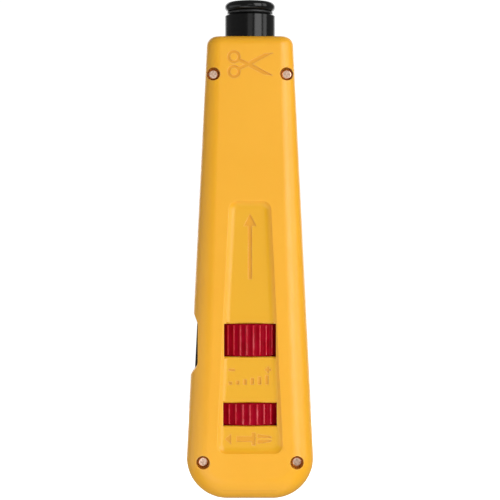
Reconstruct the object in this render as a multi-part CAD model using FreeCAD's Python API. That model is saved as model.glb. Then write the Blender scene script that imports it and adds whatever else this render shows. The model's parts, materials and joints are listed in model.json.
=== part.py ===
import FreeCAD, Part
import math
import os
from FreeCAD import Vector

# Adjustable impact punch down tool, standing on its butt with the nose up.
# Millimetres. +Z runs along the tool, -Y is the face with the marked thumb wheels.
# The origin is the middle of the flat butt.

# ---- housing -----------------------------------------------------------------
LENGTH = 165.0            # butt to nose tip
HOUSING_TOP = 152.7       # top face of the two shells
BASE_HALF_WIDTH = 21.64   # half width that the straight sides would reach at z = 0
SIDE_TAPER = 0.0491       # half width lost per millimetre of height
TOP_HALF_DEPTH = 12.5     # half depth at the top face
DEPTH_TAPER = 0.026       # half depth gained per millimetre downwards
BUTT_CORNER_R = 13.5
EDGE_R_LOW = 7.5          # rounding of the long edges at the butt
EDGE_R_HIGH = 4.3         # and at the nose end
CROWN_FRONT_R = 1.2       # rounding of the top face towards the front
CROWN_SIDE_R = 3.2        # and towards the sides
WALL = 2.2
SEAM_BEVEL = 0.15         # bevel of each shell where the two meet
REACH = 60.0              # larger than the object, for cutting blocks

# ---- recessed panel, on both faces --------------------------------------------
PANEL_TOP = 98.1
PANEL_BOTTOM = 15.25
PANEL_TOP_HALF = 6.83     # half width of the rim at the top
PANEL_DEPTH = 1.2
PANEL_DRAFT = 1.15        # how far the foot of the sloping wall lies inside the rim
PANEL_CORNER_R = 2.9      # at the rim
PANEL_FLOOR_R = 3.3       # wide hollow rounding between wall and floor
PANEL_RIM_R = 0.4
PANEL_BACKING = 1.0       # extra wall behind the panel
PANEL_LIP = 2.0           # how far that wall reaches past the rim
TOUCH = 0.003             # keeps the rim's cutting block just clear of the face
MARK_DEPTH = 0.35         # engraved marks
MARK_STROKE = 0.7

# ---- thumb wheels --------------------------------------------------------------
SLOT_GAP = 0.12           # between a wheel and its window, each side
IMPACT_R = 14.7
IMPACT_RIBS = 42
IMPACT_Z = (47.1, 57.7)
IMPACT_WINDOW_HALF = 8.52
RELEASE_R = 15.2
RELEASE_RIBS = 40
RELEASE_Z = (24.5, 31.8)
RELEASE_WINDOW_HALF = 8.8
FLUTE_DEPTH = 0.35        # shallow hollows round the rims, with narrow ridges between
RIDGE_SHARE = 0.16        # of the pitch
WINDOW_FLARE = 0.4        # bevel of the windows' edges
WHEEL_CHAMFER = 0.45
WHEEL_CLEARANCE = 0.3     # round the wheel inside the shells

# ---- nose barrel ---------------------------------------------------------------
BARREL_R = 8.45
BARREL_FIT = 0.10         # radial gap in the shells
STROKE = 8.0              # how far the barrel is pushed in before the hammer is let go
SOCKET_R = 4.05
SOCKET_FLOOR = 141.0
SOCKET_LUG_R = 5.6        # depth of the turn-and-lock slots
SOCKET_LUG_WIDTH = 2.4
TURN_POCKET = (156.0, 158.2)
GROOVE = (160.95, 162.1)  # holds the o-ring
GROOVE_R = 6.5
ORING_WIRE_R = 0.55
COLLAR_TOP_R = 7.2
COLLAR_WIDEST = 163.4
RING_Z = (134.5, 136.0)   # retaining ring
RING_GROOVE_R = 7.6
RING_R = 10.2
BARREL_STEP = 130.0       # the return spring bears here
BOSS_R = 6.3
BOSS_END = 120.0
STEM_R = 3.0
STEM_TOP = 133.0
PIN_Z = 125.0
PIN_R = 0.8

# ---- hammer and latch ----------------------------------------------------------
HAMMER_R = 8.0
HAMMER_Z = (88.0, 112.0)
HAMMER_BORE_R = 3.2
HAMMER_BORE_FLOOR = 92.5
LATCH_SLOT = (98.0, 101.5)
LATCH_HALF_WIDTH = 4.0
LATCH_GAP = 0.1
LATCH_SHIFT = 1.5         # sideways travel that lines its hole up with the stem
LATCH_END = 9.8           # outer end, which runs on the cam
LATCH_TAIL = 8.5          # inner end, against its leaf spring
LATCH_MIDDLE = 99.75      # height of the latch at rest
LEAF_THICK = 0.35
CAM_TOP = 104.0
CAM_BOTTOM = 86.0
CAM_HALF_WIDTH = 2.6

# ---- springs and adjuster --------------------------------------------------------
BULKHEAD = (112.4, 114.9)
RETURN_WASHER = (114.9, 115.6)
SEAT_Z = (61.5, 64.0)
SEAT_R = 7.9
SEAT_PILOT_R = 4.6        # centres the main spring
SEAT_EAR_HALF = 1.9
SEAT_EAR_REACH = 12.0
STUD_R = 5.0
STUD_END = 44.5
THRUST_WASHER = (45.9, 46.9)

# ---- spare blade store -------------------------------------------------------------
SLEEVE_R = 6.2
SLEEVE_Z = (1.2, 36.5)
SLEEVE_FIT = 0.10
SLEEVE_TURN_POCKET = (6.0, 8.2)
FRICTION_WASHER = (23.75, 24.35)

# ---- fold-out hook ------------------------------------------------------------------
SCREW_LOW = (15.4, 12.4)     # x and z of the lower case screws
SCREW_HIGH = (12.1, 140.0)   # and of the upper ones
HOOK_INSET = 1.1             # the hook's back lies this far inside the shell's side
HOOK_THICK = 2.0
HOOK_WIDTH = 2.8
HOOK_TIP = 75.0
HOOK_EYE_R = 4.6
HOOK_SLOT_HALF = 1.25
BUSH_R = 2.4
NOTCH_Z = (40.8, 61.2)       # finger notch
NOTCH_DEPTH = 2.2
NOTCH_ROUND_R = 4.0
NOTCH_BACKING_X = 15.15      # the notch's wall reaches in to here

# ---- case screws ---------------------------------------------------------------------
SCREW_R = 1.25
SCREW_HEAD_R = 1.75
SCREW_HEAD_H = 1.5
SCREW_HOLE_R = 2.2
SCREW_SINK = 3.1             # top of the head below the front face
SCREW_WELL_FLARE = 0.2
SCREW_CROSS_HALF = 1.0       # reach and half width of the cross recess, and its depth
SCREW_CROSS_SLOT = 0.22
SCREW_CROSS_DEPTH = 0.9
BOSS_OUTER_R = 3.2
PILOT_STOP = 4.0             # wall left behind the pilot holes of the rear shell

# Cross walls in both shells: bottom, top and the radius of the hole for what runs through
CROSS_WALLS = (
    (8.0, 10.0, SLEEVE_R + SLEEVE_FIT),
    (21.8, 23.7, SLEEVE_R + SLEEVE_FIT),
    (32.5, 34.5, SLEEVE_R + SLEEVE_FIT),
    (43.8, 45.85, STUD_R + 0.4),
    (58.2, 59.4, SEAT_R + 0.7),
    (72.0, 74.0, 8.3),
    (84.0, CAM_BOTTOM, HAMMER_R + 0.25),
    (CAM_TOP, 106.0, HAMMER_R + 0.25),
    (BULKHEAD[0], BULKHEAD[1], BOSS_R + 0.5),
    (136.2, 138.4, BARREL_R + BARREL_FIT),
    (144.5, 146.5, BARREL_R + BARREL_FIT),
)


def half_width(z):
    return BASE_HALF_WIDTH - SIDE_TAPER * z


def half_depth(z):
    return TOP_HALF_DEPTH + (HOUSING_TOP - z) * DEPTH_TAPER


def box(x0, x1, y0, y1, z0, z1):
    return Part.makeBox(x1 - x0, y1 - y0, z1 - z0, Vector(x0, y0, z0))


def rod(radius, z0, z1, x=0.0, y=0.0):
    return Part.makeCylinder(radius, z1 - z0, Vector(x, y, z0))


def cross_rod(radius, y0, y1, x, z):
    return Part.makeCylinder(radius, y1 - y0, Vector(x, y0, z), Vector(0, 1, 0))


def side_rod(radius, half_length, z):
    return Part.makeCylinder(radius, 2 * half_length, Vector(-half_length, 0, z), Vector(1, 0, 0))


def wedge_box(half, low, high, y0, grow0, y1):
    """A pocket as wide as 2 * half, taller by grow0 at both ends at depth y0 and exact at depth y1."""
    rings = []
    for y, grow in ((y0, grow0), (y1, 0)):
        z0, z1 = low - grow, high + grow
        corners = [Vector(-half, y, z0), Vector(half, y, z0), Vector(half, y, z1), Vector(-half, y, z1)]
        rings.append(Part.makePolygon(corners + corners[:1]))
    return Part.makeLoft(rings, True, True)


def washer(outer, inner, z0, z1):
    return rod(outer, z0, z1).cut(rod(inner, z0 - 1, z1 + 1))


def plate(points, y0, y1):
    """A flat piece: an outline of (x, z) points, from y0 to y1."""
    corners = [Vector(x, y0, z) for x, z in points]
    return Part.Face(Part.makePolygon(corners + corners[:1])).extrude(Vector(0, y1 - y0, 0))


def rounded_outline(points, radius, y):
    """A closed wire through (x, z) points at depth y, with its corners rounded."""
    rounds = []
    corners = [Vector(x, y, z) for x, z in points]
    for before, corner, after in zip(corners[-1:] + corners, corners, corners[1:] + corners[:1]):
        back = (before - corner).normalize()
        onward = (after - corner).normalize()
        half = back.getAngle(onward) / 2
        inward = (back + onward).normalize()
        reach = radius / math.tan(half)
        crest = corner + inward * (radius / math.sin(half) - radius)
        rounds.append((corner + back * reach, crest, corner + onward * reach))
    edges = []
    for this, following in zip(rounds, rounds[1:] + rounds[:1]):
        edges.append(Part.Arc(*this).toShape())
        edges.append(Part.makeLine(this[2], following[0]))
    return Part.Wire(edges)


def turned(points):
    """A solid turned about Z from an outline of (radius, z) points."""
    corners = [Vector(r, 0, z) for r, z in points]
    face = Part.Face(Part.makePolygon(corners + corners[:1]))
    return face.revolve(Vector(0, 0, 0), Vector(0, 0, 1), 360)


def mirrored_x(shape):
    return shape.mirror(Vector(0, 0, 0), Vector(1, 0, 0))


def to_rear(shape):
    return shape.mirror(Vector(0, 0, 0), Vector(0, 1, 0))


def coil(mean_r, wire_r, z0, z1, turns):
    """A round-wire compression spring between z0 and z1."""
    rise = z1 - z0 - 2 * wire_r
    path = Part.makeHelix(rise / turns, rise, mean_r)
    path.translate(Vector(0, 0, z0 + wire_r))
    start = Vector(mean_r, 0, z0 + wire_r)
    along = Vector(0, 2 * math.pi * mean_r, rise / turns)
    section = Part.Wire(Part.makeCircle(wire_r, start, along))
    return Part.Wire(path.Edges).makePipeShell([section], True, True)


# ---- the housing's own shape -------------------------------------------------------
def quarter_body(inset):
    """The front right quarter of the body, drawn in by inset, with its edges rounded."""
    above = HOUSING_TOP + 2 * BUTT_CORNER_R
    shrink = inset * math.hypot(1, SIDE_TAPER)
    outline = [
        (0, inset),
        (half_width(inset) - shrink, inset),
        (half_width(above) - shrink, above),
        (0, above),
    ]
    body = plate(outline, -REACH / 2, 0)
    corner = [e for e in body.Edges if all(v.X > 1 and abs(v.Z - inset) < 1e-6 for v in e.Vertexes)]
    body = body.makeFillet(BUTT_CORNER_R - inset, corner)
    low = -REACH
    section = [
        Vector(-1, 0, low),
        Vector(-1, inset - half_depth(low), low),
        Vector(-1, inset - half_depth(2 * HOUSING_TOP), 2 * HOUSING_TOP),
        Vector(-1, 0, 2 * HOUSING_TOP),
    ]
    depth = Part.Face(Part.makePolygon(section + section[:1])).extrude(Vector(REACH, 0, 0))
    body = body.common(depth)
    side = [e for e in body.Edges if all(v.Y < -5 and v.X > 5 for v in e.Vertexes)]
    side = max(side, key=lambda e: e.Length)
    body = body.makeFillet(EDGE_R_HIGH - inset, EDGE_R_LOW - inset, [side])
    body = body.common(box(-1, REACH, -REACH, 1, -1, HOUSING_TOP - inset))
    if inset == 0:
        crown = [e for e in body.Edges if all(abs(v.Z - HOUSING_TOP) < 1e-6 and v.X > 5 for v in e.Vertexes)]
        crown = [e for e in crown if any(abs(v.Y) < 1e-6 for v in e.Vertexes)]
        body = body.makeFillet(CROWN_FRONT_R, CROWN_SIDE_R, crown)
    return body


def half_body(inset):
    quarter = quarter_body(inset)
    return quarter.fuse(mirrored_x(quarter)).removeSplitter()


def on_face(shape):
    """Lays a piece drawn in the plane y = 0 on the sloping front face."""
    lean = math.degrees(math.atan(DEPTH_TAPER))
    shape = shape.copy()
    shape.rotate(Vector(0, 0, HOUSING_TOP), Vector(1, 0, 0), -lean)
    shape.translate(Vector(0, -TOP_HALF_DEPTH, 0))
    return shape


def panel_outline(inset):
    """The tapered panel's (x, z) corners, drawn in by inset."""
    low = PANEL_TOP_HALF + (PANEL_TOP - PANEL_BOTTOM) * SIDE_TAPER - inset
    high = PANEL_TOP_HALF - inset
    return [
        (-low, PANEL_BOTTOM + inset),
        (low, PANEL_BOTTOM + inset),
        (high, PANEL_TOP - inset),
        (-high, PANEL_TOP - inset),
    ]


def panel_recess():
    """What is taken out of the front face for the panel: hollow walls, a flat floor and a soft rim."""
    rings = []
    slope = PANEL_DRAFT / PANEL_DEPTH
    for y in (-TOUCH, PANEL_DEPTH):
        inset = y * slope
        rings.append(rounded_outline(panel_outline(inset), PANEL_CORNER_R - inset, y))
    recess = Part.makeLoft(rings, True, True)
    floor = [e for e in recess.Edges if all(abs(v.Y - PANEL_DEPTH) < 1e-6 for v in e.Vertexes)]
    recess = recess.makeFillet(PANEL_FLOOR_R, floor)
    grown = rounded_outline(panel_outline(-1), PANEL_CORNER_R + 1, -1)
    lid = Part.Face(grown).extrude(Vector(0, 1 - TOUCH, 0))
    recess = recess.fuse(lid).removeSplitter()
    under = [f for f in recess.Faces if f.BoundBox.YLength < 1e-6 and abs(f.CenterOfMass.y + TOUCH) < 1e-6]
    rim = [w for w in under[0].Wires if not w.isSame(under[0].OuterWire)]
    return on_face(recess.makeFillet(PANEL_RIM_R, rim[0].Edges))


# ---- engraved marks: plain symbols, each a list of flat pieces ------------------------
def bar(x0, z0, x1, z1, width):
    """A straight stroke from one point to another."""
    length = math.hypot(x1 - x0, z1 - z0)
    nx, nz = (z1 - z0) / length * width / 2, (x0 - x1) / length * width / 2
    return [(x0 - nx, z0 - nz), (x1 - nx, z1 - nz), (x1 + nx, z1 + nz), (x0 + nx, z0 + nz)]


def strokes(*lines):
    """Flat strokes of the usual width, each from (x0, z0) to (x1, z1)."""
    return [plate(bar(*line, MARK_STROKE), 0, 1) for line in lines]


def scissors_mark(z):
    """Scissors lying on their side: two finger rings, two crossing arms and two blades."""
    marks = []
    ring_x, ring_up, ring_r, ring_hole, arm_width = -5.3, 2.45, 2.2, 1.2, 1.1
    blade = [(0.2, 0.35), (7.6, -3.7), (4.6, -3.5), (-0.4, -0.9)]
    for side in (1, -1):
        ring_z = z + side * ring_up
        ring = cross_rod(ring_r, 0, 1, ring_x, ring_z)
        marks.append(ring.cut(cross_rod(ring_hole, -1, 2, ring_x, ring_z)))
        marks.append(plate(bar(-3.8, z + side * 1.5, 0.6, z - side * 0.45, arm_width), 0, 1))
        marks.append(plate([(x, z + side * up) for x, up in blade], 0, 1))
    return marks


def press_mark(low, high):
    """A long arrow towards the nose, the way the tool is pushed."""
    head = 4.0
    shaft = plate([(-0.6, low), (0.6, low), (0.6, high - head), (-0.6, high - head)], 0, 1)
    return [shaft, plate([(-2.1, high - head), (2.1, high - head), (0, high)], 0, 1)]


def impact_mark(z):
    """A minus and a plus over a row of six rising bars."""
    bars = []
    step, width = 2.4, 1.1
    for i in range(6):
        x = -7.0 + i * step
        top = z + 0.9 + 0.42 * i
        bars.append(plate([(x, z), (x + width, z), (x + width, top), (x, top)], 0, 1))
    sign = z + 4.8
    return bars + strokes((-7.0, sign, -5.0, sign), (4.9, sign, 6.9, sign), (5.9, sign - 1, 5.9, sign + 1))


def release_mark(z):
    """An arrow to the left, and a blade: its shank with two lugs, and its forked tip."""
    arrow = [(-8.2, z), (-6.2, z + 1.7), (-6.2, z - 1.7)]
    shank = [(-4.4, z - 0.9), (0.6, z - 0.9), (0.6, z + 0.9), (-4.4, z + 0.9)]
    lugs = [(0.6, z - 2.1), (1.8, z - 2.1), (1.8, z + 2.1), (0.6, z + 2.1)]
    upper = [(2.4, z + 0.35), (7.2, z + 0.35), (6.6, z + 1.0), (2.4, z + 1.6)]
    lower = [(x, 2 * z - up) for x, up in upper]
    return [plate(outline, 0, 1) for outline in (arrow, shank, lugs, upper, lower)]


def sunk(marks, floor):
    """Moves marks so that they run inwards to the given depth below the face."""
    for mark in marks:
        mark.translate(Vector(0, floor - 1, 0))
    return [on_face(mark) for mark in marks]


def front_marks():
    """All engravings of the front face, each sunk to MARK_DEPTH below where it lies."""
    in_panel = press_mark(72.4, 93.9) + impact_mark(37.9) + release_mark(20.1)
    return sunk(scissors_mark(143.1), MARK_DEPTH) + sunk(in_panel, PANEL_DEPTH + MARK_DEPTH)


# ---- shells -----------------------------------------------------------------------------
def screw_places():
    return [(side * x, z) for x, z in (SCREW_LOW, SCREW_HIGH) for side in (-1, 1)]


def air_inside():
    """The hollow of the front shell: the drawn-in body less its walls, bosses and pads."""
    keep = []
    for low, high, hole in CROSS_WALLS:
        keep.append(box(-REACH, REACH, -REACH, 1, low, high).cut(rod(hole, low - 1, high + 1)))
    for x, z in screw_places():
        keep.append(cross_rod(BOSS_OUTER_R, -REACH, 1, x, z))
    grown = panel_outline(-PANEL_LIP)
    keep.append(on_face(plate(grown, 0, WALL + PANEL_BACKING)))
    keep.append(box(-REACH, -NOTCH_BACKING_X, -REACH, 1, NOTCH_Z[0] - 2, NOTCH_Z[1] + 2))
    for x in (-11.0, 9.2):
        ear_guide = box(x, x + 1.8, -REACH, -SEAT_EAR_HALF - 0.15, CROSS_WALLS[4][0], 70.0)
        keep.append(ear_guide)
    return half_body(WALL).cut(keep)


def wheel_rooms():
    """Windows and round clearances for the two thumb wheels."""
    rooms = []
    wheels = (
        (IMPACT_R, IMPACT_Z, IMPACT_WINDOW_HALF),
        (RELEASE_R, RELEASE_Z, RELEASE_WINDOW_HALF),
    )
    for radius, (low, high), half in wheels:
        rooms.append(rod(radius + WHEEL_CLEARANCE, low - SLOT_GAP, high + SLOT_GAP))
        rooms.append(box(-half, half, -REACH, -8, low - SLOT_GAP, high + SLOT_GAP))
        flare_top = PANEL_DEPTH - WINDOW_FLARE
        flare_end = PANEL_DEPTH + WINDOW_FLARE
        flare = wedge_box(half, low - SLOT_GAP, high + SLOT_GAP, flare_top, 2 * WINDOW_FLARE, flare_end)
        rooms.append(on_face(flare))
    return rooms


def hook_back(z):
    """Left edge of the folded hook at height z."""
    return -(half_width(z) - HOOK_INSET)


def hook_room():
    """The slot that the hook swings out through, open along the left side and round the corner."""
    px, pz = -SCREW_LOW[0], SCREW_LOW[1]
    inner = HOOK_WIDTH + 0.3
    top = HOOK_TIP + 0.6
    side = [(-REACH, pz), (hook_back(pz) + inner, pz), (hook_back(top) + inner, top), (-REACH, top)]
    half = HOOK_SLOT_HALF
    return [
        plate(side, -half, half),
        box(-REACH, px + HOOK_EYE_R + 0.3, -half, half, -1, pz),
        cross_rod(HOOK_EYE_R + 0.3, -half, half, px, pz),
    ]


def finger_notch():
    """A scoop in the left side that bares the hook's back for a fingernail."""
    low, high = NOTCH_Z
    middle = (low + high) / 2
    floor = -(half_width(middle) - NOTCH_DEPTH)
    ramp = 3.4
    points = [
        (-REACH, low - ramp),
        (-half_width(low), low),
        (floor - 0.25, low + ramp),
        (floor - 0.25, high - ramp),
        (-half_width(high), high),
        (-REACH, high + ramp),
    ]
    scoop = plate(points, -REACH, REACH)
    inner = [e for e in scoop.Edges if all(v.X > floor - 1 for v in e.Vertexes)]
    inner = [e for e in inner if abs(e.Vertexes[0].Z - e.Vertexes[1].Z) < 1e-6]
    return scoop.makeFillet(NOTCH_ROUND_R, inner)


def shell_core():
    """What both shells share, drawn as the front one."""
    outside = half_body(0)
    seam = [e for e in outside.Edges if abs(e.BoundBox.YMin) < 1e-4]
    shell = outside.makeChamfer(SEAM_BEVEL, seam).cut(air_inside())
    cuts = wheel_rooms() + hook_room() + [finger_notch(), panel_recess()]
    cuts.append(rod(BARREL_R + BARREL_FIT, HOUSING_TOP - 5, HOUSING_TOP + 5))
    cuts.append(rod(SLEEVE_R + SLEEVE_FIT, -5, 5))
    return shell.cut(cuts)


def well_flare(x, z):
    """The bevelled rim of a screw well."""
    mouth = 1.0
    start = Vector(x, -half_depth(z) - mouth, z)
    wide = SCREW_HOLE_R + SCREW_WELL_FLARE + mouth
    return Part.makeCone(wide, SCREW_HOLE_R, mouth + SCREW_WELL_FLARE, start, Vector(0, 1, 0))


def front_shell():
    shell = shell_core()
    cuts = front_marks()
    for x, z in screw_places():
        face = -half_depth(z)
        cuts.append(cross_rod(SCREW_HOLE_R, face - 1, face + SCREW_SINK + SCREW_HEAD_H, x, z))
        cuts.append(cross_rod(SCREW_R + 0.15, -REACH, 1, x, z))
        cuts.append(well_flare(x, z))
    return shell.cut(cuts)


def rear_shell():
    shell = to_rear(shell_core())
    holes = [cross_rod(SCREW_R, -1, half_depth(z) - PILOT_STOP, x, z) for x, z in screw_places()]
    return shell.cut(holes)


# ---- fasteners ---------------------------------------------------------------------------
def case_screw(x, z):
    """A pan-head screw with a cross recess, driven from the front."""
    face = -half_depth(z)
    top = face + SCREW_SINK
    seat = top + SCREW_HEAD_H
    head = cross_rod(SCREW_HEAD_R, top, seat, x, z)
    rim = [e for e in head.Edges if abs(e.BoundBox.YMax - top) < 1e-6]
    head = head.makeFillet(0.55, rim)
    shank = cross_rod(SCREW_R, seat - 0.1, half_depth(z) - PILOT_STOP - 1, x, z)
    long, slot = SCREW_CROSS_HALF, SCREW_CROSS_SLOT
    cross = [
        box(x - a, x + a, top - 1, top + SCREW_CROSS_DEPTH, z - b, z + b)
        for a, b in ((long, slot), (slot, long))
    ]
    return head.fuse(shank).removeSplitter().cut(cross)


def case_screws():
    return Part.makeCompound([case_screw(x, z) for x, z in screw_places()])


# ---- nose barrel and what rides in it -------------------------------------------------------
def lug_slots(mouth, end, pocket):
    """Turn-and-lock slots of a blade socket: two straight slots and a quarter-turn pocket."""
    low, high = sorted((mouth, end))
    slots = box(-SOCKET_LUG_R, SOCKET_LUG_R, -SOCKET_LUG_WIDTH / 2, SOCKET_LUG_WIDTH / 2, low, high)
    slots = slots.common(rod(SOCKET_LUG_R, low, high))
    turn = rod(SOCKET_LUG_R, *pocket)
    for quadrant in (1, -1):
        corner = box(0, REACH, 0, REACH, pocket[0] - 1, pocket[1] + 1)
        corner.translate(Vector(SOCKET_LUG_WIDTH / 2, SOCKET_LUG_WIDTH / 2, 0))
        corner.rotate(Vector(0, 0, 0), Vector(0, 0, 1), 90 if quadrant == 1 else -90)
        turn = turn.cut(corner)
    return [slots, turn]


def nose_barrel():
    """The black barrel: rounded collar, o-ring groove, socket and a boss for the stem."""
    start = Vector(COLLAR_TOP_R, 0, LENGTH)
    widest = Vector(BARREL_R, 0, COLLAR_WIDEST)
    bulge = Part.Arc(start, Vector(8.2, 0, COLLAR_WIDEST + 0.9), widest).toShape()
    under = Part.Arc(widest, Vector(8.27, 0, COLLAR_WIDEST - 0.7), Vector(7.8, 0, GROOVE[1])).toShape()
    below = [
        (7.8, GROOVE[1]),
        (GROOVE_R, GROOVE[1]),
        (GROOVE_R, GROOVE[0]),
        (7.85, GROOVE[0]),
        (BARREL_R, GROOVE[0] - 0.6),
        (BARREL_R, RING_Z[1]),
        (RING_GROOVE_R, RING_Z[1]),
        (RING_GROOVE_R, RING_Z[0]),
        (BARREL_R, RING_Z[0]),
        (BARREL_R, BARREL_STEP),
        (BOSS_R, BARREL_STEP),
        (BOSS_R, BOSS_END),
        (STEM_R + 0.02, BOSS_END),
        (STEM_R + 0.02, STEM_TOP),
        (0, STEM_TOP),
        (0, SOCKET_FLOOR),
        (SOCKET_R, SOCKET_FLOOR),
        (SOCKET_R, LENGTH - 0.6),
        (SOCKET_R + 0.6, LENGTH),
        (COLLAR_TOP_R, LENGTH),
    ]
    rest = Part.makePolygon([Vector(r, 0, z) for r, z in below])
    outline = Part.Wire([bulge, under] + rest.Edges)
    barrel = Part.Face(outline).revolve(Vector(0, 0, 0), Vector(0, 0, 1), 360)
    return barrel.cut(lug_slots(LENGTH + 1, TURN_POCKET[0], TURN_POCKET) + [side_rod(PIN_R, BOSS_R, PIN_Z)])


def barrel_oring():
    middle = (GROOVE[0] + GROOVE[1]) / 2
    return Part.makeTorus(GROOVE_R + ORING_WIRE_R, ORING_WIRE_R, Vector(0, 0, middle))


def retaining_ring():
    """An open steel ring in the barrel's groove: it stops the barrel from falling out."""
    low, high = RING_Z[0] + 0.02, RING_Z[1] - 0.02
    ring = washer(RING_R, RING_GROOVE_R + 0.03, low, high)
    return ring.cut(box(-2.0, 2.0, 0, REACH, low - 1, high + 1))


def striker_stem():
    tip = LATCH_SLOT[1] + LATCH_GAP
    stem = turned([(0, tip), (STEM_R - 0.4, tip), (STEM_R, tip + 0.4), (STEM_R, STEM_TOP), (0, STEM_TOP)])
    return stem.cut(side_rod(PIN_R, BOSS_R, PIN_Z))


def stem_pin():
    return side_rod(PIN_R, BOSS_R - 0.2, PIN_Z)


def return_spring():
    return coil(7.35, 0.5, RETURN_WASHER[1] + 0.05, BARREL_STEP - 0.05, 5.5)


def return_washer():
    return washer(9.2, BOSS_R + 0.3, *RETURN_WASHER)


# ---- hammer, latch and cam ---------------------------------------------------------------------
def hammer():
    """A steel slug, bored for the stem and slotted across for the latch."""
    low, high = HAMMER_Z
    edge = 0.6
    body = turned([
        (0, low), (HAMMER_R - edge, low), (HAMMER_R, low + edge), (HAMMER_R, high - edge),
        (HAMMER_R - edge, high), (HAMMER_BORE_R, high), (HAMMER_BORE_R, HAMMER_BORE_FLOOR),
        (0, HAMMER_BORE_FLOOR),
    ])
    half = LATCH_HALF_WIDTH + LATCH_GAP
    return body.cut(box(-REACH, REACH, -half, half, *LATCH_SLOT))


def latch_plate():
    """The sliding latch: its hole stands beside the stem until the cam pushes it across."""
    low, high = LATCH_SLOT[0] + LATCH_GAP, LATCH_SLOT[1] - LATCH_GAP
    body = box(-LATCH_TAIL, LATCH_END, -LATCH_HALF_WIDTH, LATCH_HALF_WIDTH, low, high)
    outer = [e for e in body.Edges if all(v.X > 5 for v in e.Vertexes)]
    outer = [e for e in outer if abs(e.Vertexes[0].Y - e.Vertexes[1].Y) > 1]
    body = body.makeFillet(1.2, outer)
    return body.cut(rod(HAMMER_BORE_R, low - 1, high + 1, LATCH_SHIFT))


def latch_spring():
    """A bowed leaf on the hammer's left side that holds the latch out against the cam."""
    reach, bow = 4.0, 0.6
    radius = (reach**2 + bow**2) / (2 * bow)
    centre = radius - LATCH_TAIL - 0.15
    outer = cross_rod(radius + LEAF_THICK, -2.5, 2.5, centre, LATCH_MIDDLE)
    inner = cross_rod(radius, -3.5, 3.5, centre, LATCH_MIDDLE)
    return outer.cut(inner).common(box(-REACH, 0, -3, 3, LATCH_MIDDLE - reach, LATCH_MIDDLE + reach))


def cam_face(z):
    """Where the cam's sloping face lies at height z."""
    return LATCH_END + 0.15 - (LATCH_MIDDLE - z) * LATCH_SHIFT / STROKE


def latch_cam():
    """The wedge that moves the latch across as the hammer is pushed down."""
    outer = half_width(CAM_TOP) - WALL - 0.3
    high, low = CAM_TOP - 0.05, CAM_BOTTOM + 0.05
    end = LATCH_MIDDLE - STROKE - 0.75
    points = [(cam_face(end), low), (outer, low), (outer, high), (cam_face(high), high), (cam_face(end), end)]
    return plate(points, -CAM_HALF_WIDTH, CAM_HALF_WIDTH)


def main_spring():
    return coil(6.3, 1.0, SEAT_Z[1] + 0.05, HAMMER_Z[0] - 0.05, 6.0)


# ---- impact adjuster --------------------------------------------------------------------------
def spring_seat():
    """A flanged stud: the wheel turns on its thread and lifts or lowers it."""
    low, high = SEAT_Z
    bevel = 0.7
    top = low + 0.1
    stud = [(0, STUD_END), (STUD_R - bevel, STUD_END), (STUD_R, STUD_END + bevel), (STUD_R, top), (0, top)]
    body = rod(SEAT_R, low, high).fuse([
        rod(SEAT_PILOT_R, high - 0.1, high + 3.0),
        box(-SEAT_EAR_REACH, SEAT_EAR_REACH, -SEAT_EAR_HALF, SEAT_EAR_HALF, low, high),
        turned(stud),
    ])
    return body.removeSplitter()


def thrust_washer():
    return washer(9.5, STUD_R + 0.4, *THRUST_WASHER)


def ribbed_disc(radius, ribs, z0, z1):
    """A thumb wheel's rim: shallow flutes with narrow rounded ridges between, its two edges bevelled."""
    pitch = 2 * math.pi / ribs
    ridge = RIDGE_SHARE / 2
    soft = radius - 0.04
    valley = radius - FLUTE_DEPTH
    edges = []
    for i in range(ribs):
        stations = ((-ridge, soft), (0.0, radius), (ridge, soft), (0.5, valley), (1 - ridge, soft))
        p = [Vector(r * math.cos((i + f) * pitch), r * math.sin((i + f) * pitch), z0) for f, r in stations]
        edges.append(Part.Arc(p[0], p[1], p[2]).toShape())
        edges.append(Part.Arc(p[2], p[3], p[4]).toShape())
    disc = Part.Face(Part.Wire(edges)).extrude(Vector(0, 0, z1 - z0))
    bevel = turned([
        (0, z0), (radius - WHEEL_CHAMFER, z0), (radius, z0 + WHEEL_CHAMFER),
        (radius, z1 - WHEEL_CHAMFER), (radius - WHEEL_CHAMFER, z1), (0, z1),
    ])
    return disc.common(bevel)


def wheel(radius, ribs, z0, z1, bore):
    """A moulded wheel: fluted rim, thin web and a bored hub."""
    web = 1.3
    middle = (z0 + z1) / 2
    rim, hub = radius - 2.6, bore + 2.2
    hollows = [washer(rim, hub, z0 - 1, middle - web), washer(rim, hub, middle + web, z1 + 1)]
    return ribbed_disc(radius, ribs, z0, z1).cut(hollows + [rod(bore, z0 - 1, z1 + 1)])


def impact_wheel():
    return wheel(IMPACT_R, IMPACT_RIBS, IMPACT_Z[0], IMPACT_Z[1], STUD_R + 0.08)


def release_wheel():
    return wheel(RELEASE_R, RELEASE_RIBS, RELEASE_Z[0], RELEASE_Z[1], SLEEVE_R)


# ---- spare blade store ------------------------------------------------------------------------
def storage_sleeve():
    low, high = SLEEVE_Z
    sleeve = washer(SLEEVE_R, SOCKET_R, low, high)
    return sleeve.cut(lug_slots(low - 1, SLEEVE_TURN_POCKET[1], SLEEVE_TURN_POCKET))


def friction_washer():
    """Sits between the release wheel and the wall below it, to keep the wheel where it is put."""
    return washer(9.6, SLEEVE_R + 0.1, *FRICTION_WASHER)


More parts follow.
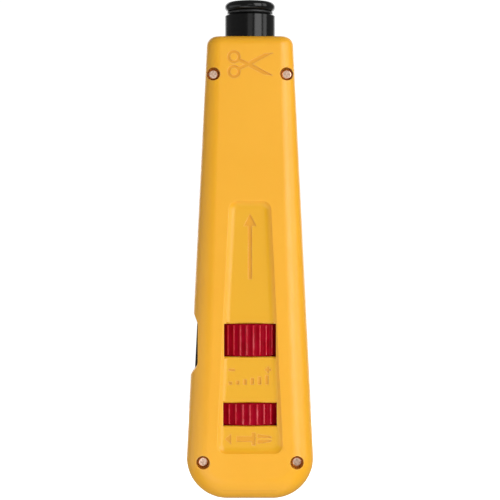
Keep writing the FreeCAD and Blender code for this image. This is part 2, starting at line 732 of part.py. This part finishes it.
# ---- fold-out hook ---------------------------------------------------------------------------------
def hook_tool():
    """A slim black blade with an eye at its foot and a wire hook at its tip."""
    px, pz = -SCREW_LOW[0], SCREW_LOW[1]
    half = HOOK_THICK / 2
    shoulder = HOOK_TIP - 3.0
    foot = pz + HOOK_EYE_R
    outline = [
        (px, pz),
        (hook_back(pz), pz),
        (hook_back(shoulder), shoulder),
        (hook_back(HOOK_TIP) + 1.0, HOOK_TIP),
        (hook_back(HOOK_TIP) + 1.9, HOOK_TIP),
        (hook_back(shoulder) + HOOK_WIDTH, shoulder - 1.0),
        (hook_back(foot) + HOOK_WIDTH, foot),
    ]
    body = plate(outline, -half, half).fuse(cross_rod(HOOK_EYE_R, -half, half, px, pz)).removeSplitter()
    hook_x = hook_back(shoulder - 4.0) + HOOK_WIDTH
    cuts = [
        cross_rod(0.8, -REACH, REACH, hook_x - 0.6, shoulder - 4.0),
        plate(bar(hook_x - 0.6, shoulder - 4.0, hook_x + 2.0, shoulder - 5.4, 1.6), -half - 1, half + 1),
        cross_rod(BUSH_R + 0.05, -REACH, REACH, px, pz),
    ]
    return body.cut(cuts)


def hook_bush():
    """Steel bush round the lower left screw: the hook turns on it."""
    px, pz = -SCREW_LOW[0], SCREW_LOW[1]
    half = HOOK_SLOT_HALF
    return cross_rod(BUSH_R, -half, half, px, pz).cut(cross_rod(SCREW_R + 0.05, -REACH, REACH, px, pz))


def hook_washers():
    """Two thin friction washers, one each side of the hook's eye."""
    px, pz = -SCREW_LOW[0], SCREW_LOW[1]
    near, far = HOOK_THICK / 2 + 0.02, HOOK_SLOT_HALF
    discs = []
    for y0, y1 in ((-far, -near), (near, far)):
        disc = cross_rod(HOOK_EYE_R - 0.4, y0, y1, px, pz)
        discs.append(disc.cut(cross_rod(BUSH_R + 0.05, -REACH, REACH, px, pz)))
    return Part.makeCompound(discs)


PIECES = (
    front_shell, rear_shell, case_screws,
    nose_barrel, barrel_oring, retaining_ring, striker_stem, stem_pin, return_spring, return_washer,
    hammer, latch_plate, latch_spring, latch_cam, main_spring,
    spring_seat, thrust_washer, impact_wheel,
    release_wheel, storage_sleeve, friction_washer,
    hook_tool, hook_bush, hook_washers,
)


def main():
    os.makedirs("parts", exist_ok=True)
    for piece in PIECES:
        shape = piece()
        shape.exportStep(os.path.join("parts", piece.__name__ + ".step"))
        print(piece.__name__, shape.isValid(), len(shape.Solids), round(shape.Volume, 1))


main()
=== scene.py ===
import json
import math
import bmesh
import bpy
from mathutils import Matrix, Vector


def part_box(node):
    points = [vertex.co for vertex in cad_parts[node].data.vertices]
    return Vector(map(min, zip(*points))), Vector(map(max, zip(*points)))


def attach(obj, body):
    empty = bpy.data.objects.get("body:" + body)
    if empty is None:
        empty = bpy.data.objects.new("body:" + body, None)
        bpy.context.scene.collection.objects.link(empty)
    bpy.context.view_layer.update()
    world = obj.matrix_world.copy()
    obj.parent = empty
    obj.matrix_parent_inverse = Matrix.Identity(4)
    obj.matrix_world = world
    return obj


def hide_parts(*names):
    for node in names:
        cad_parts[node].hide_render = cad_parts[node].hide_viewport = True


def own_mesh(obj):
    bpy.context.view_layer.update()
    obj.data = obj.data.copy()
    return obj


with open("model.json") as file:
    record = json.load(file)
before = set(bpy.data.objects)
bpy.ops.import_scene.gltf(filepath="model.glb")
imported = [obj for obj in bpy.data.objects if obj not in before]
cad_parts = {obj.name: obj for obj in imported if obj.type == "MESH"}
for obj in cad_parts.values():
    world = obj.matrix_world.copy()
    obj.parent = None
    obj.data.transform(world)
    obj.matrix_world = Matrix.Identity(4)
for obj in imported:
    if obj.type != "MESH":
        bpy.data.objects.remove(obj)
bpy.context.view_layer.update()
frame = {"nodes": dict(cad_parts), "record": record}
nodes = frame["nodes"]

# The looks of the punch down tool, with its stage, light and camera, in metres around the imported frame.

MM = 0.001

# The two sloping faces of the handle, in millimetres, as in the CAD.
HOUSING_TOP = 152.7
TOP_HALF_DEPTH = 12.5        # from the middle plane to each face, at the top
DEPTH_TAPER = 0.026          # how much further out each face lies, per millimetre further down

# Regions that the materials tell apart, in millimetres: each pair is the span where a mask fades, and
# two pairs are the spans where it comes in and goes out.
PANEL_DEPTH = (0.5, 1.05)
PANEL_HALF_WIDTH = (10.5, 11.0)
PANEL_HEIGHTS = ((14.0, 14.5), (98.5, 99.0))
PANEL_MARK_DEPTHS = ((1.42, 1.50), (1.6, 1.7))
PANEL_MARK_HALF_WIDTH = (8.6, 8.9)
FACE_MARK_DEPTHS = ((0.22, 0.30), (0.4, 0.5))
FACE_MARK_HALF_WIDTH = (8.3, 8.6)
FACE_MARK_HEIGHTS = ((137.0, 137.5), (149.0, 149.5))
RIB_CREST_DEPTH = (0.03, 0.16)


# ---- node helpers ---------------------------------------------------------------------------
def new_material(name):
    """A material with its node tree and its Principled shader."""
    material = bpy.data.materials.new(name)
    material.use_nodes = True
    tree = material.node_tree
    return material, tree, tree.nodes["Principled BSDF"]


def add(tree, kind, inputs=None, **settings):
    """A node of one kind, with its settings, and its inputs given as values or as sockets to link."""
    node = tree.nodes.new(kind)
    for name, value in settings.items():
        setattr(node, name, value)
    for name, value in (inputs or {}).items():
        if isinstance(value, bpy.types.NodeSocket):
            tree.links.new(value, node.inputs[name])
        else:
            node.inputs[name].default_value = value
    return node


def link(tree, socket, shader, name):
    """Link a socket to one of the shader's inputs."""
    tree.links.new(socket, shader.inputs[name])


def place(tree):
    """The point being shaded, in the object's own metres."""
    return add(tree, "ShaderNodeTexCoord").outputs["Object"]


def axes(tree):
    """The X, Y and Z of the point being shaded."""
    return add(tree, "ShaderNodeSeparateXYZ", {"Vector": place(tree)}).outputs


def noise(tree, size_mm, detail=2.0, rough=0.5, where=None, distortion=0.0):
    """Noise whose blobs are about size_mm across."""
    node = add(
        tree,
        "ShaderNodeTexNoise",
        {
            "Vector": where or place(tree),
            "Scale": 1.0 / (size_mm * MM),
            "Detail": detail,
            "Roughness": rough,
            "Distortion": distortion,
        },
    )
    return node.outputs["Fac"]


def stretched(tree, scale):
    """The point being shaded, with each axis scaled, to stretch or squeeze a texture."""
    return add(tree, "ShaderNodeMapping", {"Vector": place(tree), "Scale": scale}).outputs["Vector"]


def math_node(tree, operation, *values):
    """One arithmetic step on numbers or sockets."""
    node = add(tree, "ShaderNodeMath", operation=operation)
    for index, value in enumerate(values):
        if isinstance(value, bpy.types.NodeSocket):
            tree.links.new(value, node.inputs[index])
        else:
            node.inputs[index].default_value = value
    return node.outputs[0]


def times(tree, first, second):
    """The product of two values."""
    return math_node(tree, "MULTIPLY", first, second)


def ramp(tree, factor, low, high, out_low=0.0, out_high=1.0):
    """factor from low to high becomes out_low to out_high."""
    node = add(
        tree,
        "ShaderNodeMapRange",
        {"Value": factor, "From Min": low, "From Max": high, "To Min": out_low, "To Max": out_high},
    )
    return node.outputs["Result"]


def rising(tree, value, span):
    """Zero below the span, which is in millimetres, and one above it."""
    return ramp(tree, value, span[0] * MM, span[1] * MM)


def falling(tree, value, span):
    """One below the span, which is in millimetres, and zero above it."""
    return ramp(tree, value, span[1] * MM, span[0] * MM)


def within(tree, value, spans):
    """One between the two spans, which are in millimetres, and zero outside them."""
    return times(tree, rising(tree, value, spans[0]), falling(tree, value, spans[1]))


def mix_colour(tree, factor, first, second):
    """The first colour where factor is zero and the second where it is one."""
    node = add(tree, "ShaderNodeMix", data_type="RGBA")
    for index, value in ((0, factor), (6, first), (7, second)):
        if isinstance(value, bpy.types.NodeSocket):
            tree.links.new(value, node.inputs[index])
        elif isinstance(value, float):
            node.inputs[index].default_value = value
        else:
            node.inputs[index].default_value = (*value, 1.0)
    return node.outputs[2]


def edge_mask(tree, width_mm):
    """One on convex edges, where the true normal leaves the rounded one, and zero on flats."""
    rounded = add(tree, "ShaderNodeBevel", {"Radius": width_mm * MM}, samples=4).outputs["Normal"]
    true = add(tree, "ShaderNodeNewGeometry").outputs["Normal"]
    dot = add(tree, "ShaderNodeVectorMath", {0: rounded, 1: true}, operation="DOT_PRODUCT").outputs["Value"]
    return ramp(tree, dot, 0.995, 0.90)


def bump(tree, shader, height, depth_mm, strength=1.0):
    """Relief on top of any relief that the shader has already."""
    node = add(tree, "ShaderNodeBump", {"Height": height, "Distance": depth_mm * MM, "Strength": strength})
    previous = shader.inputs["Normal"].links
    if previous:
        tree.links.new(previous[0].from_socket, node.inputs["Normal"])
    tree.links.new(node.outputs["Normal"], shader.inputs["Normal"])


# ---- materials ------------------------------------------------------------------------------
def face_depth(tree, where):
    """How far a point lies below the nearer of the two sloping faces."""
    foot_half_depth = (TOP_HALF_DEPTH + HOUSING_TOP * DEPTH_TAPER) * MM
    face = math_node(tree, "MULTIPLY_ADD", where["Z"], -DEPTH_TAPER, foot_half_depth)
    return math_node(tree, "SUBTRACT", face, math_node(tree, "ABSOLUTE", where["Y"]))


def panel_shade_mask(tree):
    """One on the floors of the two recessed panels, where their darker colour is painted shade, from the
    depth below the sloping faces.
    """
    where = axes(tree)
    sunk = rising(tree, face_depth(tree, where), PANEL_DEPTH)
    narrow = falling(tree, math_node(tree, "ABSOLUTE", where["X"]), PANEL_HALF_WIDTH)
    return times(tree, times(tree, sunk, narrow), within(tree, where["Z"], PANEL_HEIGHTS))


def mark_shade_mask(tree):
    """One on the floors of the marks sunk in the panels and near the top of the handle, where their darker
    colour is painted shade.
    """
    where = axes(tree)
    depth = face_depth(tree, where)
    side = math_node(tree, "ABSOLUTE", where["X"])
    in_panel = within(tree, depth, PANEL_MARK_DEPTHS)
    in_panel = times(tree, in_panel, falling(tree, side, PANEL_MARK_HALF_WIDTH))
    on_face = times(tree, within(tree, depth, FACE_MARK_DEPTHS), within(tree, where["Z"], FACE_MARK_HEIGHTS))
    on_face = times(tree, on_face, falling(tree, side, FACE_MARK_HALF_WIDTH))
    return math_node(tree, "MAXIMUM", in_panel, on_face)


def yellow_plastic():
    """Satin moulded ABS: fine spark texture, faint flow marks, edges paler from scuffing and from a painted
    highlight, and painted shade, darker, on the floors of the panels and marks.
    """
    material, tree, shader = new_material("yellow_abs")
    # The pale edge colour is partly scuffing and partly a painted highlight on the rims.
    base, deep, pale_edge = (0.88, 0.420, 0.014), (0.86, 0.402, 0.010), (0.95, 0.56, 0.13)
    # Painted shade: darker colours for the floors of the recessed panels and of the marks.
    panel_shade, engraved_shade = (0.79, 0.398, 0.003), (0.76, 0.335, 0.008)
    flow = ramp(tree, noise(tree, 26, 3.0, 0.55, distortion=0.6), 0.35, 0.65)
    colour = mix_colour(tree, flow, deep, base)
    # Painted shade on the floors of the recessed panels.
    colour = mix_colour(tree, panel_shade_mask(tree), colour, panel_shade)
    # Painted shade on the floors of the marks sunk in the face.
    colour = mix_colour(tree, times(tree, mark_shade_mask(tree), 0.8), colour, engraved_shade)
    patches = ramp(tree, noise(tree, 3.5, 4.0, 0.6), 0.35, 0.65, 0.35, 1.0)
    # Paler convex edges: partly scuffing, partly a painted highlight.
    wear_and_edge_highlight = times(tree, edge_mask(tree, 0.35), patches)
    link(tree, mix_colour(tree, wear_and_edge_highlight, colour, pale_edge), shader, "Base Color")
    rough = ramp(tree, noise(tree, 5.0, 5.0, 0.6), 0.3, 0.7, 0.30, 0.40)
    link(tree, rough, shader, "Roughness")
    bump(tree, shader, noise(tree, 0.22, 2.0, 0.5), 0.012, 0.35)
    bump(tree, shader, noise(tree, 9.0, 2.0, 0.5), 0.05, 0.25)
    shader.inputs["IOR"].default_value = 1.5
    shader.inputs["Specular IOR Level"].default_value = 0.5
    shader.inputs["Subsurface Weight"].default_value = 0.08
    shader.inputs["Subsurface Radius"].default_value = (1.0, 0.45, 0.1)
    shader.inputs["Subsurface Scale"].default_value = 1.2 * MM
    return material


def rib_crests(tree):
    """One on the crests of the two thumb wheels' ribs, from the distance to the wheels' axis."""
    where = axes(tree)
    square = math_node(tree, "ADD", times(tree, where["X"], where["X"]), times(tree, where["Y"], where["Y"]))
    reach = math_node(tree, "SQRT", square)
    between_wheels = 0.5 * (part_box("release_wheel")[1].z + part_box("impact_wheel")[0].z)
    lower = math_node(tree, "LESS_THAN", where["Z"], between_wheels)
    impact_r, release_r = [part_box(name)[1].x for name in ("impact_wheel", "release_wheel")]
    crest = ramp(tree, lower, 0.0, 1.0, impact_r, release_r)
    return falling(tree, math_node(tree, "SUBTRACT", crest, reach), RIB_CREST_DEPTH)


def red_plastic():
    """Crimson wheels: thumbs have rubbed the crests of the ribs glossy, and the flutes between are duller;
    the crests are also coloured paler, a painted highlight.
    """
    material, tree, shader = new_material("crimson_plastic")
    cloud = ramp(tree, noise(tree, 3.0, 3.0, 0.5), 0.35, 0.65)
    polish_and_highlight = rib_crests(tree)
    colour = mix_colour(tree, cloud, (0.25, 0.0, 0.006), (0.32, 0.0, 0.012))
    # Painted highlight: the rib crests are coloured paler red, on top of their real glossier coat.
    colour = mix_colour(tree, polish_and_highlight, colour, (0.50, 0.004, 0.018))
    # The edges of the ribs are scuffed paler.
    pale_edge = times(tree, edge_mask(tree, 0.15), ramp(tree, noise(tree, 1.2, 3.0, 0.6), 0.4, 0.8))
    link(tree, mix_colour(tree, pale_edge, colour, (0.46, 0.02, 0.035)), shader, "Base Color")
    link(tree, ramp(tree, noise(tree, 0.8, 4.0, 0.6), 0.3, 0.7, 0.26, 0.38), shader, "Roughness")
    patchy = ramp(tree, noise(tree, 2.2, 2.0), 0.4, 0.6, 0.25, 0.85)
    link(tree, times(tree, polish_and_highlight, patchy), shader, "Coat Weight")
    bump(tree, shader, noise(tree, 0.30, 2.0), 0.005, 0.25)
    shader.inputs["Specular IOR Level"].default_value = 0.03
    shader.inputs["Coat Roughness"].default_value = 0.10
    shader.inputs["Coat IOR"].default_value = 1.6
    return material


def black_barrel():
    """Smooth black barrel with faint turning lines and fine rub marks."""
    material, tree, shader = new_material("black_barrel_finish")
    rings = noise(tree, 14.0, 2.0, 0.5, where=stretched(tree, (1.0, 1.0, 60.0)))
    rubs = ramp(tree, noise(tree, 1.6, 5.0, 0.7), 0.5, 0.8)
    link(tree, mix_colour(tree, rubs, (0.002, 0.002, 0.002), (0.007, 0.007, 0.006)), shader, "Base Color")
    link(tree, ramp(tree, rings, 0.3, 0.7, 0.12, 0.20), shader, "Roughness")
    bump(tree, shader, rings, 0.006, 0.35)
    bump(tree, shader, noise(tree, 0.25, 2.0), 0.006, 0.3)
    shader.inputs["Specular IOR Level"].default_value = 0.32
    return material


def rubber():
    """Matt black rubber with a little grey dust."""
    material, tree, shader = new_material("nitrile_rubber")
    dust = ramp(tree, noise(tree, 0.6, 4.0, 0.6), 0.5, 0.8)
    link(tree, mix_colour(tree, dust, (0.010, 0.010, 0.010), (0.030, 0.029, 0.028)), shader, "Base Color")
    link(tree, ramp(tree, noise(tree, 0.5, 3.0), 0.3, 0.7, 0.38, 0.55), shader, "Roughness")
    bump(tree, shader, noise(tree, 0.15, 2.0), 0.006, 0.5)
    return material


def metal(name, colour, dark, rough, grain=(1.0, 1.0, 1.0), grain_mm=0.5, tarnish_mm=4.0):
    """Bare metal: uneven tarnish, and a fine grain drawn out across an axis that is scaled up."""
    material, tree, shader = new_material(name)
    lines = noise(tree, grain_mm, 3.0, 0.6, where=stretched(tree, grain))
    tarnish = ramp(tree, noise(tree, tarnish_mm, 4.0, 0.6), 0.4, 0.7)
    link(tree, mix_colour(tree, tarnish, colour, dark), shader, "Base Color")
    link(tree, ramp(tree, lines, 0.3, 0.7, rough - 0.06, rough + 0.08), shader, "Roughness")
    bump(tree, shader, lines, 0.004, 0.35)
    shader.inputs["Metallic"].default_value = 1.0
    return material


def blackened_steel():
    """Blackened steel hook: dark oxide, bright where the edges have rubbed."""
    material, tree, shader = new_material("black_oxide_steel")
    mottled = ramp(tree, noise(tree, 1.5, 5.0, 0.65), 0.35, 0.7)
    colour = mix_colour(tree, mottled, (0.010, 0.010, 0.011), (0.030, 0.030, 0.032))
    rubbed = times(tree, edge_mask(tree, 0.12), ramp(tree, noise(tree, 0.8, 4.0, 0.7), 0.45, 0.75))
    link(tree, mix_colour(tree, rubbed, colour, (0.28, 0.28, 0.29)), shader, "Base Color")
    link(tree, ramp(tree, noise(tree, 0.7, 4.0), 0.3, 0.7, 0.30, 0.46), shader, "Roughness")
    bump(tree, shader, noise(tree, 0.2, 3.0), 0.006, 0.4)
    shader.inputs["Metallic"].default_value = 0.6
    return material


def white_floor():
    """White studio floor, with enough glow of its own to stay white."""
    material, tree, shader = new_material("studio_floor")
    tone = ramp(tree, noise(tree, 220, 2.0), 0.3, 0.7, 0.0, 1.0)
    link(tree, mix_colour(tree, tone, (0.90, 0.90, 0.90), (0.92, 0.92, 0.92)), shader, "Base Color")
    shader.inputs["Roughness"].default_value = 0.9
    shader.inputs["Emission Color"].default_value = (1.0, 1.0, 1.0, 1.0)
    shader.inputs["Emission Strength"].default_value = 0.85
    return material


MATERIALS = {
    "yellow_plastic": yellow_plastic(),
    "black_barrel": black_barrel(),
    "red_plastic": red_plastic(),
    "o_ring_rubber": rubber(),
    "screw_steel": metal(
        "nickel_screw", (0.74, 0.53, 0.41), (0.48, 0.31, 0.22), 0.22, grain_mm=0.3, tarnish_mm=0.8
    ),
    "tool_steel": metal("ground_steel", (0.52, 0.52, 0.53), (0.42, 0.42, 0.43), 0.30, (1.0, 1.0, 14.0)),
    "spring_steel": metal("spring_wire", (0.40, 0.40, 0.42), (0.28, 0.27, 0.26), 0.32),
    "blackened_steel": blackened_steel(),
    "brass_bush": metal("turned_brass", (0.74, 0.53, 0.22), (0.58, 0.38, 0.14), 0.27, (1.0, 1.0, 10.0)),
    "black_nylon": black_barrel(),
}


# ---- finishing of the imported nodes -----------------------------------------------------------
def crisp_edges(angle_deg):
    """A node group that shades a mesh smooth, but keeps every edge sharper than the angle crisp."""
    group = bpy.data.node_groups.new("crisp_edges", "GeometryNodeTree")
    for direction in ("INPUT", "OUTPUT"):
        group.interface.new_socket("Geometry", in_out=direction, socket_type="NodeSocketGeometry")
    mesh_in = add(group, "NodeGroupInput").outputs["Geometry"]
    angle = add(group, "GeometryNodeInputMeshEdgeAngle").outputs["Unsigned Angle"]
    limit = math.radians(angle_deg)
    sharp = add(group, "FunctionNodeCompare", {0: angle, 1: limit}, operation="GREATER_THAN")
    smooth = add(
        group,
        "GeometryNodeSetShadeSmooth",
        {"Geometry": mesh_in, "Shade Smooth": True},
        domain="FACE",
    )
    edges = add(
        group,
        "GeometryNodeSetShadeSmooth",
        {"Geometry": smooth.outputs[0], "Selection": sharp.outputs[0], "Shade Smooth": False},
        domain="EDGE",
    )
    group.links.new(edges.outputs[0], add(group, "NodeGroupOutput").inputs["Geometry"])
    return group


CRISP = crisp_edges(28)


def finish(piece, slot):
    """One material, and one smooth skin over separate faces with crisp edges kept."""
    piece.data.materials.clear()
    piece.data.materials.append(MATERIALS[slot])
    weld = piece.modifiers.new("joined_faces", "WELD")
    weld.merge_threshold = 1e-6
    piece.modifiers.new("crisp_edges", "NODES").node_group = CRISP
    weighted = piece.modifiers.new("even_shading", "WEIGHTED_NORMAL")
    weighted.keep_sharp = True
    weighted.weight = 60


for row in frame["record"]["subparts"]:
    finish(nodes[row["node"]], row["material_slot"])


# ---- coil springs with closed, ground ends ------------------------------------------------------
def coil_heights(low, high, wire_r, open_turns, steps):
    """Heights of the wire's centre along the coil: a closed turn, the open turns, and a closed turn."""
    flat_until, opening = 0.8, 0.4             # turns from either end
    inset = 0.6 * wire_r                       # less than the radius, because the ends are ground flat
    turns = open_turns + 2
    openness = []
    for i in range(int(turns * steps)):
        turn = (i + 0.5) / steps
        from_end = min(turn, turns - turn)
        openness.append(min(1.0, max(0.0, (from_end - flat_until) / opening)))
    closed_rise = 2 * wire_r / steps
    flat_rise = closed_rise * sum(1 - share for share in openness)
    open_rise = (high - low - 2 * inset - flat_rise) / sum(openness)
    heights = [low + inset]
    for share in openness:
        heights.append(heights[-1] + share * open_rise + (1 - share) * closed_rise)
    return heights


def coil_mesh(name, low, high, mean_r, wire_r, open_turns):
    """A closed mesh of round wire wound round the Z axis, cut flat at low and high."""
    steps, sides = 40, 14                      # steps per turn, and sides of the wire
    heights = coil_heights(low, high, wire_r, open_turns, steps)
    verts, faces = [], []
    for i, height in enumerate(heights):
        turn = 2 * math.pi * i / steps
        for k in range(sides):
            around = 2 * math.pi * k / sides
            r = mean_r + wire_r * math.cos(around)
            z = min(high, max(low, height + wire_r * math.sin(around)))
            verts.append((r * math.cos(turn), r * math.sin(turn), z))
    for i in range(len(heights) - 1):
        for k in range(sides):
            a, b = i * sides + k, i * sides + (k + 1) % sides
            faces.append((a, a + sides, b + sides, b))
    faces.append(tuple(range(sides)))
    faces.append(tuple(reversed(range(len(verts) - sides, len(verts)))))
    mesh = bpy.data.meshes.new(name)
    mesh.from_pydata(verts, [], faces)
    bm = bmesh.new()
    bm.from_mesh(mesh)
    bmesh.ops.recalc_face_normals(bm, faces=bm.faces)
    bm.to_mesh(mesh)
    bm.free()
    return mesh


def spring(name, node, mean_r, wire_r, open_turns):
    """A round-wire spring in place of its CAD node, closed at both ends and carried by the housing."""
    low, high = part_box(node)[0].z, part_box(node)[1].z
    piece = bpy.data.objects.new(name, coil_mesh(name, low, high, mean_r, wire_r, open_turns))
    bpy.context.scene.collection.objects.link(piece)
    finish(piece, "spring_steel")
    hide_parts(node)
    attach(piece, "housing")
    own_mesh(piece)


spring("return_coil", "return_spring", 7.35 * MM, 0.5 * MM, 3.6)
spring("main_coil", "main_spring", 6.3 * MM, 1.0 * MM, 4.2)


# ---- stage, light and camera -------------------------------------------------------------------
def folded_out_depth():
    """Height of the hook's lowest point once it is folded out, half a turn round its pivot."""
    joints = frame["record"]["behaviour"]["joints"]
    pivot_z = next(joint["pos_m"][2] for joint in joints if joint["name"] == "hook_pivot")
    return 2 * pivot_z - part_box("hook_tool")[1].z


def floor():
    """A pale floor, low enough for the folded-out hook to stay in sight.

    It neither lights the tool nor shows in its reflections.
    """
    half, clearance = 4.0, 5 * MM
    corners = [(-half, -half, 0), (half, -half, 0), (half, half, 0), (-half, half, 0)]
    mesh = bpy.data.meshes.new("floor")
    mesh.from_pydata(corners, [], [(0, 1, 2, 3)])
    mesh.materials.append(white_floor())
    plane = bpy.data.objects.new("floor", mesh)
    plane.location.z = folded_out_depth() - clearance
    plane.visible_diffuse = False
    plane.visible_glossy = False
    plane.visible_shadow = False
    bpy.context.scene.collection.objects.link(plane)


def studio_world():
    """White all round: full white behind the object, softer as a light."""
    as_light, as_backdrop = 0.28, 1.05
    world = bpy.data.worlds.new("studio")
    world.use_nodes = True
    tree = world.node_tree
    background = tree.nodes["Background"]
    background.inputs["Color"].default_value = (1.0, 1.0, 1.0, 1.0)
    seen = add(tree, "ShaderNodeLightPath").outputs["Is Camera Ray"]
    link(tree, ramp(tree, seen, 0.0, 1.0, as_light, as_backdrop), background, "Strength")
    bpy.context.scene.world = world


def softbox(name, azimuth, elevation, distance, size, power, target=(0.0, 0.0, 0.085)):
    """A rectangular light, placed by its direction from the target; azimuth 0 is the front, 90 the right."""
    light = bpy.data.lights.new(name, "AREA")
    light.shape = "RECTANGLE"
    light.size, light.size_y = size
    light.energy = power
    lamp = bpy.data.objects.new(name, light)
    a, e = math.radians(azimuth), math.radians(elevation)
    away = Vector((math.sin(a) * math.cos(e), -math.cos(a) * math.cos(e), math.sin(e)))
    lamp.location = Vector(target) + away * distance
    lamp.rotation_euler = away.to_track_quat("Z", "Y").to_euler()
    lamp.visible_camera = False
    bpy.context.scene.collection.objects.link(lamp)


def camera():
    """Level with the middle of the tool, 600 mm in front of its middle plane."""
    distance, height, frame_width = 0.600, 0.08201, 0.167925
    data = bpy.data.cameras.new("camera")
    data.sensor_width = 36.0
    data.lens = data.sensor_width * distance / frame_width
    data.clip_start, data.clip_end = 0.01, 20.0
    eye = bpy.data.objects.new("camera", data)
    eye.location = (0.0, -distance, height)
    eye.rotation_euler = (math.pi / 2, 0.0, 0.0)
    bpy.context.scene.collection.objects.link(eye)
    bpy.context.scene.camera = eye


floor()
studio_world()

# Each light: direction in degrees, distance and size in metres, power in watts, and what it points at.
softbox("key", 37, 15, 0.60, (0.34, 0.60), 2.45, (0.0, 0.0, 0.04))
softbox("rim_right", 71, 12, 0.9, (0.30, 0.8), 1.8)
softbox("fill_left", -78, -8, 0.9, (1.2, 0.5), 1.6, (0.0, 0.0, 0.06))
softbox("low_left", -30, -16, 0.26, (0.24, 0.16), 0.15, (0.0, 0.0, 0.005))
softbox("bounce", 0, -60, 0.6, (0.8, 0.8), 1.3, (0.0, 0.0, 0.02))
softbox("front_fill", 0, 4, 1.4, (0.5, 0.7), 0.9)
softbox("back", 180, 12, 0.9, (1.4, 0.9), 6.0)
camera()

view = bpy.context.scene.view_settings
view.view_transform = "Standard"
view.look = "None"
